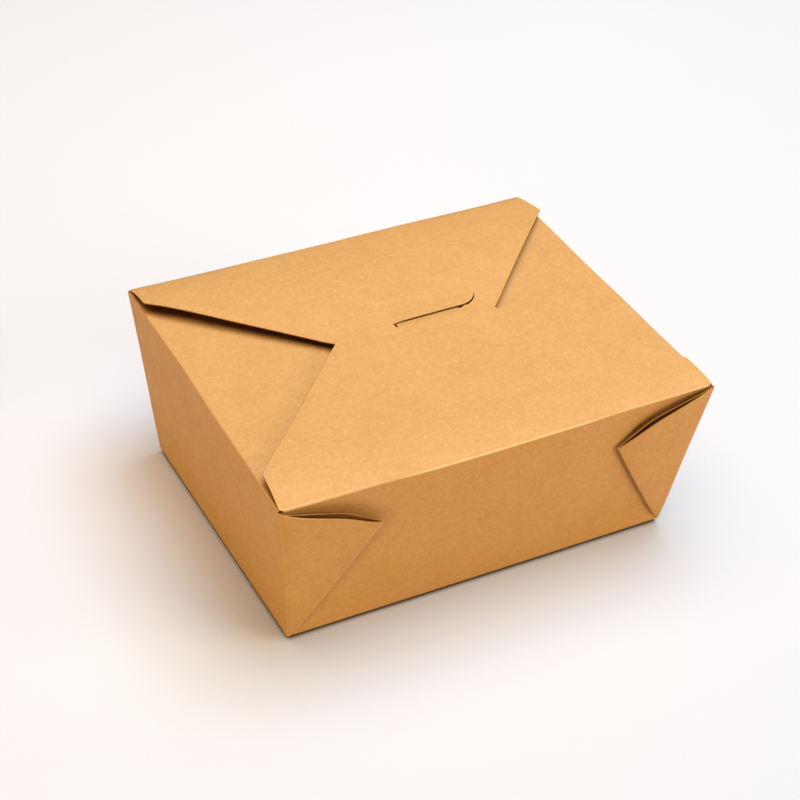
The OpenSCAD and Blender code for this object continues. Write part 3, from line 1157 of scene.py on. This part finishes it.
def board_material(name, groups, finish, core=0.0, gloss=0.0, shade_by=1.0):
    """Kraft board. core moves it to the colour of the cut and gloss smooths it as a film does.
    shade_by darkens and reddens it as painted shade, and below 1 also paints shade into its
    tight gaps."""
    material = new_material(name)
    n = Nodes(material.node_tree)
    blank = n.add("ShaderNodeUVMap", uv_map="blank").outputs[0]
    fold_mm = n.add("ShaderNodeAttribute", attribute_name="fold_mm").outputs["Fac"]
    cut_mm = n.add("ShaderNodeAttribute", attribute_name="cut_mm").outputs["Fac"]

    def use(title, **values):
        node = n.add("ShaderNodeGroup", node_tree=groups[title])
        n.feed(node.inputs["Vector"], blank)
        for socket, value in values.items():
            n.feed(node.inputs[socket], value)
        return node.outputs

    fibres = use("fibres", Scale=0.42, Width=0.035, Cover=0.5, Seed=0.0)["Mask"]
    curls = use("fibres", Scale=0.75, Width=0.045, Cover=0.54, Seed=21.0)["Mask"]
    threads = use("fibres", Scale=0.5, Width=0.03, Cover=0.56, Seed=47.0)["Mask"]
    flecks = use("flecks", Scale=0.22, Share=0.35, Size=0.075)["Mask"]
    tone = use("tone")
    # Pale line along the folds: partly worn board, partly a painted highlight
    crease = use("wear_and_highlight", Distance=fold_mm, Width=0.55, Break=0.35)["Mask"]
    edge = use("wear_and_highlight", Distance=cut_mm, Width=0.5, Break=0.5)["Mask"]
    raised = n.math("MAXIMUM", fibres, curls)

    pale = tinted(finish.core_colour)
    dark = tinted(finish.board_colour, (0.84, 0.77, 0.68))
    light = tinted(finish.board_colour, (1.10, 1.14, 1.22))
    cloudy = n.mix(n.step(tone["Patches"], 0.38, 0.62), dark, light)
    shade = n.mix(0.3, tinted(finish.board_colour), cloudy)
    # Marks that lie over the board one after another: mask, strength and colour
    for mask, strength, mark in (
        (n.step(tone["Tooth"], 0.5, 0.72), 0.06, dark),
        (raised, 0.24, tinted(finish.fibre_colour)),
        (threads, 0.22, dark),
        (flecks, 0.5, tinted(finish.fleck_colour)),
        # Fold line: wear and painted highlight
        (crease, 0.35, pale),
        (edge, 0.15, pale),
    ):
        shade = n.mix(n.math("MULTIPLY", mask, strength), shade, mark)
    if core:
        shade = n.mix(core, shade, pale)
    # Painted shade: the face darker and redder, and darker still in tight gaps
    if shade_by < 1:
        shade = n.vector("MULTIPLY", shade, tuple(shade_by**k for k in (1.0, 1.4, 1.9)))
        painted_gap_shade = n.vector("MULTIPLY", shade, (0.4, 0.26, 0.15))
        shade = n.mix(n.gap_shade_mask(BOARD_GAP_SHADE_REACH, 0.05, 0.6, samples=8), painted_gap_shade, shade)

    height = n.math("MULTIPLY", tone["Patches"], 0.6)
    for operation, mask, strength in (
        ("ADD", tone["Tooth"], 0.2),
        ("ADD", raised, 0.25),
        ("SUBTRACT", crease, 0.3),
    ):
        height = n.math(operation, height, n.math("MULTIPLY", mask, strength))
    relief = {"Strength": 0.16 * (1 - gloss), "Distance": 0.12 * MM, "Height": height}
    bump = n.add("ShaderNodeBump", relief)
    rough = n.step(tone["Patches"], 0.3, 0.7, 0.66 - 0.25 * gloss, 0.54 - 0.25 * gloss)
    rough = n.math("ADD", rough, n.math("MULTIPLY", crease, 0.15))
    # The gloss fades out at a cut, where it would draw a hard light line
    gleam = n.step(cut_mm, 0, 1.5, 0.0, 0.25)
    shader = n.add(
        "ShaderNodeBsdfPrincipled",
        {
            "Base Color": shade,
            "Roughness": rough,
            "Normal": bump.outputs[0],
            "Specular IOR Level": gleam,
        },
    )
    n.add("ShaderNodeOutputMaterial", {"Surface": shader.outputs[0]})
    return material


def board_materials():
    """Outer face, film-coated inner face and cut edge, made once and shared by all pieces. The
    inner face is darker partly for its coating and partly as painted shade, and the cut edge
    is darkened as painted shade.
    """
    if "kraft_outside" not in bpy.data.materials:
        finish = bpy.context.scene.takeaway_box_finish
        groups = {
            "fibres": fibre_group(),
            "flecks": fleck_group(),
            "tone": tone_group(),
            "wear_and_highlight": wear_and_highlight_group(),
        }
        board_material("kraft_outside", groups, finish)
        # Inner face: coated and darker, the darkening partly painted shade
        board_material("kraft_inside", groups, finish, gloss=0.3, shade_by=finish.inside_shade)
        # Cut edge: the pale core colour, darkened and reddened as painted shade
        board_material("kraft_cut_edge", groups, finish, core=0.1, shade_by=0.65)
    return [bpy.data.materials[f"kraft_{part}"] for part in ("outside", "inside", "cut_edge")]


def dress(piece):
    """Gives a piece its three board materials."""
    for material in board_materials():
        piece.data.materials.append(material)


class TAKEAWAY_OT_carton(bpy.types.Operator):
    """Fold the base, walls, corner webs, end flaps and back flap from one sheet"""

    bl_idname = "takeaway.carton"
    bl_label = "Carton"
    bl_options = {"REGISTER", "UNDO"}

    def execute(self, context):
        form = Form(context.scene.takeaway_box_sizes)
        board = Board(form)
        base = fold_base(board, form)
        long_walls = {side: fold_long_wall(board, form, side) for side in (-1, 1)}
        end_walls = {across: fold_end_wall(board, form, across) for across in (-1, 1)}
        for side, wall in long_walls.items():
            board.fold(base[f"foot_{FACES[side]}"], wall["foot"], (0, 0, -1))
        for across, wall in end_walls.items():
            board.fold(base[f"foot_{HANDS[across]}"], wall["foot"], (0, 0, -1))
            flap = fold_end_flap(board, form, across)
            board.fold(wall["brow"], flap["brow"], (across, 0, 0))
            for side, long_wall in long_walls.items():
                inner, outer = fold_web(board, form, across, side)
                board.fold(long_wall[HANDS[across]], inner, (0, side, 0), bends=8)
                board.fold(outer, wall[FACES[side]], (0, side, 0))
        back_flap = fold_back_flap(board, form)
        board.fold(long_walls[1]["top"], back_flap["top"], (0, 1, 0))
        piece = board.build("carton_board")
        dress(piece)
        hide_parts("carton")
        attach(piece, "carton")
        return {"FINISHED"}


class TAKEAWAY_OT_front_flap(bpy.types.Operator):
    """Make the front flap with the tongue that dives through the slit"""

    bl_idname = "takeaway.front_flap"
    bl_label = "Front Flap"
    bl_options = {"REGISTER", "UNDO"}

    def execute(self, context):
        form = Form(context.scene.takeaway_box_sizes)
        board = Board(form)
        fold_front_flap(board, form)
        piece = board.build("front_flap_board")
        dress(piece)
        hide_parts("front_flap")
        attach(piece, "front_flap")
        return {"FINISHED"}


class TAKEAWAY_OT_front_crease(bpy.types.Operator):
    """Round the top of the front wall into the front flap, as it lies closed, with a crease"""

    bl_idname = "takeaway.front_crease"
    bl_label = "Front Crease"
    bl_options = {"REGISTER", "UNDO"}

    def execute(self, context):
        form = Form(context.scene.takeaway_box_sizes)
        scrap = Board(form)
        wall = fold_long_wall(scrap, form, -1)["top"]
        flap = fold_front_flap(scrap, form)["top"]
        board = Board(form)
        # Only the edges of the wall and the flap go over to the crease's own board
        for run in (wall, flap):
            gaps = np.full(len(run.ids), TOP_ROUND)
            run.ids = board.add(run.places, run.blanks, gaps, run.cuts)
            run.parts = (run.ids, *run.parts[1:])
        board.fold(wall, flap, (0, -1, 0), bends=8)
        piece = board.build("front_crease_board")
        dress(piece)
        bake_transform(piece)
        return {"FINISHED"}


class TAKEAWAY_OT_stage(bpy.types.Operator):
    """Lay the pale floor, hang the studio lights and place the camera"""

    bl_idname = "takeaway.stage"
    bl_label = "Stage"
    bl_options = {"REGISTER", "UNDO"}

    def execute(self, context):
        scene = context.scene
        add_floor(scene.takeaway_box_finish)
        add_lights(scene)
        add_camera(scene)
        scene.view_settings.view_transform = "Standard"
        return {"FINISHED"}


def add_floor(finish):
    """Pale paper with painted light: lighter towards the back left and brightest beside the
    box's back left corner, with a painted warm contact shadow where the box touches it."""
    mesh = bpy.data.meshes.new("studio_floor")
    half = 6.0
    corners = [(-half, -half, 0), (half, -half, 0), (half, half, 0), (-half, half, 0)]
    mesh.from_pydata(corners, [], [(0, 1, 2, 3)])
    floor = bpy.data.objects.new("studio_floor", mesh)
    bpy.context.scene.collection.objects.link(floor)
    material = new_material("studio_paper")
    n = Nodes(material.node_tree)
    where = n.add("ShaderNodeNewGeometry").outputs["Position"]
    tone = n.noise(where, 3.0, detail=2.0, rough=0.5, seed=2.0)
    axes = n.add("ShaderNodeSeparateXYZ", {"Vector": where}).outputs
    # Painted light: darker near the front right and lighter towards the back left
    depth = n.math("SUBTRACT", axes["Y"], n.math("MULTIPLY", axes["X"], 0.5))
    near = tinted(finish.floor_colour, (0.88, 0.865, 0.865))
    far = tinted(finish.floor_colour, (1.06, 1.01, 0.97))
    shade = n.mix(n.step(depth, -0.35, 0.3), near, far)
    shade = n.vector("SCALE", shade, scale=n.math("ADD", n.math("MULTIPLY", tone, 0.02), 0.99))
    # Painted pool of light beside the box's back left corner
    painted_light_spot, painted_light_reach, painted_light_gain = (-0.1, 0.058, 0), 0.1, 1.13
    away = n.add("ShaderNodeVectorMath", {0: where, 1: painted_light_spot}, operation="DISTANCE")
    gain = n.step(away.outputs["Value"], 0, painted_light_reach, painted_light_gain, 1.0)
    shade = n.vector("SCALE", shade, scale=gain)
    # Painted contact shadow: warm dark brown in the tight gap under the box's edges
    contact_shadow_brown = tinted(finish.floor_colour, (0.30, 0.20, 0.12))
    shade = n.mix(n.gap_shade_mask(FLOOR_CONTACT_SHADE_REACH, 0.25, 0.8, samples=16), contact_shadow_brown, shade)
    shader = n.add(
        "ShaderNodeBsdfPrincipled",
        {"Base Color": shade, "Roughness": 0.6, "Specular IOR Level": 0.2},
    )
    n.add("ShaderNodeOutputMaterial", {"Surface": shader.outputs[0]})
    floor.data.materials.append(material)


def add_area_light(scene, name, place, aim, size, power, tint):
    """Round light that looks at a point and that the camera doesn't see."""
    light = bpy.data.lights.new(name, "AREA")
    light.shape, light.size, light.energy, light.color = "DISK", size, power, tint
    lamp = bpy.data.objects.new(name, light)
    lamp.location = place
    lamp.rotation_euler = (Vector(aim) - Vector(place)).to_track_quat("-Z", "Y").to_euler()
    lamp.visible_camera = False
    scene.collection.objects.link(lamp)


def add_lights(scene):
    """Broad light from above, softer light at the front right and low warm light on the walls."""
    aim = (0, 0, 0.03)
    # Name, place, width, power and tint of each light
    for name, place, size, power, tint in (
        ("ceiling_softbox", (0.0, 0.0, 1.6), 2.2, 50.0, (1.0, 0.85, 0.692)),
        ("overhead_softbox", (0.45, 0.1, 1.4), 1.2, 24.6, (0.293, 0.616, 1.0)),
        ("front_right_softbox", (1.1, -1.1, 0.7), 1.2, 19.9, (0.95, 1.0, 0.93)),
        ("low_right_lamp", (0.7, -1.0, 0.12), 0.2, 4.3, (1.0, 0.617, 0.074)),
        ("low_left_lamp", (-1.0, -0.35, 0.09), 0.16, 5.8, (1.0, 0.786, 0.247)),
    ):
        add_area_light(scene, name, place, aim, size, power, tint)
    world = bpy.data.worlds.new("studio_air")
    world.use_nodes = True
    n = Nodes(world.node_tree)
    world.node_tree.nodes.clear()
    air = n.add("ShaderNodeBackground", {"Color": (1.0, 0.8, 0.6, 1), "Strength": 0.05})
    seen = n.add("ShaderNodeBackground", {"Color": (0.93, 0.90, 0.88, 1), "Strength": 1.0})
    rays = n.add("ShaderNodeLightPath").outputs
    direct = n.math("MAXIMUM", rays["Is Camera Ray"], rays["Is Transmission Ray"])
    shown = n.add("ShaderNodeMixShader")
    n.feed(shown.inputs[0], direct)
    n.feed(shown.inputs[1], air.outputs[0])
    n.feed(shown.inputs[2], seen.outputs[0])
    n.add("ShaderNodeOutputWorld", {"Surface": shown.outputs[0]})
    scene.world = world


def add_camera(scene):
    """Camera fitted to the box's corners as the photograph shows them."""
    azimuth, elevation, roll = radians(-28.38), radians(37.37), radians(2.54)
    target = Vector((5.24, 17.7, 24.75)) * MM
    distance = 723.9 * MM
    level = cos(elevation)
    back = Vector((sin(azimuth) * level, -cos(azimuth) * level, sin(elevation)))
    right = Vector((cos(azimuth), sin(azimuth), 0))
    up = back.cross(right)
    tilted = right * cos(roll) + up * sin(roll)
    upright = back.cross(tilted)
    data = bpy.data.cameras.new("photo_camera")
    data.sensor_width, data.lens = 36.0, 85.766
    data.clip_start, data.clip_end = 0.01, 50
    camera = bpy.data.objects.new("photo_camera", data)
    turn = Matrix((tilted, upright, back)).transposed()
    camera.matrix_world = Matrix.Translation(target + back * distance) @ turn.to_4x4()
    scene.collection.objects.link(camera)
    scene.camera = camera


class TAKEAWAY_PT_panel(bpy.types.Panel):
    """Lists the sizes, the colours and the steps that make the box"""

    bl_label = "Takeaway Box"
    bl_idname = "TAKEAWAY_PT_panel"
    bl_space_type = "VIEW_3D"
    bl_region_type = "UI"
    bl_category = "Takeaway Box"

    def draw(self, context):
        scene = context.scene
        for group in (scene.takeaway_box_sizes, scene.takeaway_box_finish):
            column = self.layout.column(align=True)
            for name in group.__annotations__:
                column.prop(group, name)
        for step in STEPS:
            self.layout.operator(step.bl_idname)


STEPS = (
    TAKEAWAY_OT_stage,
    TAKEAWAY_OT_carton,
    TAKEAWAY_OT_front_flap,
    TAKEAWAY_OT_front_crease,
)
CLASSES = (TakeawayBoxSizes, TakeawayBoxFinish, *STEPS, TAKEAWAY_PT_panel)


def register():
    for made in CLASSES:
        bpy.utils.register_class(made)
    bpy.types.Scene.takeaway_box_sizes = PointerProperty(type=TakeawayBoxSizes)
    bpy.types.Scene.takeaway_box_finish = PointerProperty(type=TakeawayBoxFinish)


def unregister():
    del bpy.types.Scene.takeaway_box_finish
    del bpy.types.Scene.takeaway_box_sizes
    for made in reversed(CLASSES):
        bpy.utils.unregister_class(made)


def main():
    register()
    bpy.ops.takeaway.stage()
    bpy.ops.takeaway.carton()
    bpy.ops.takeaway.front_flap()
    bpy.ops.takeaway.front_crease()


if __name__ == "__main__":
    main()
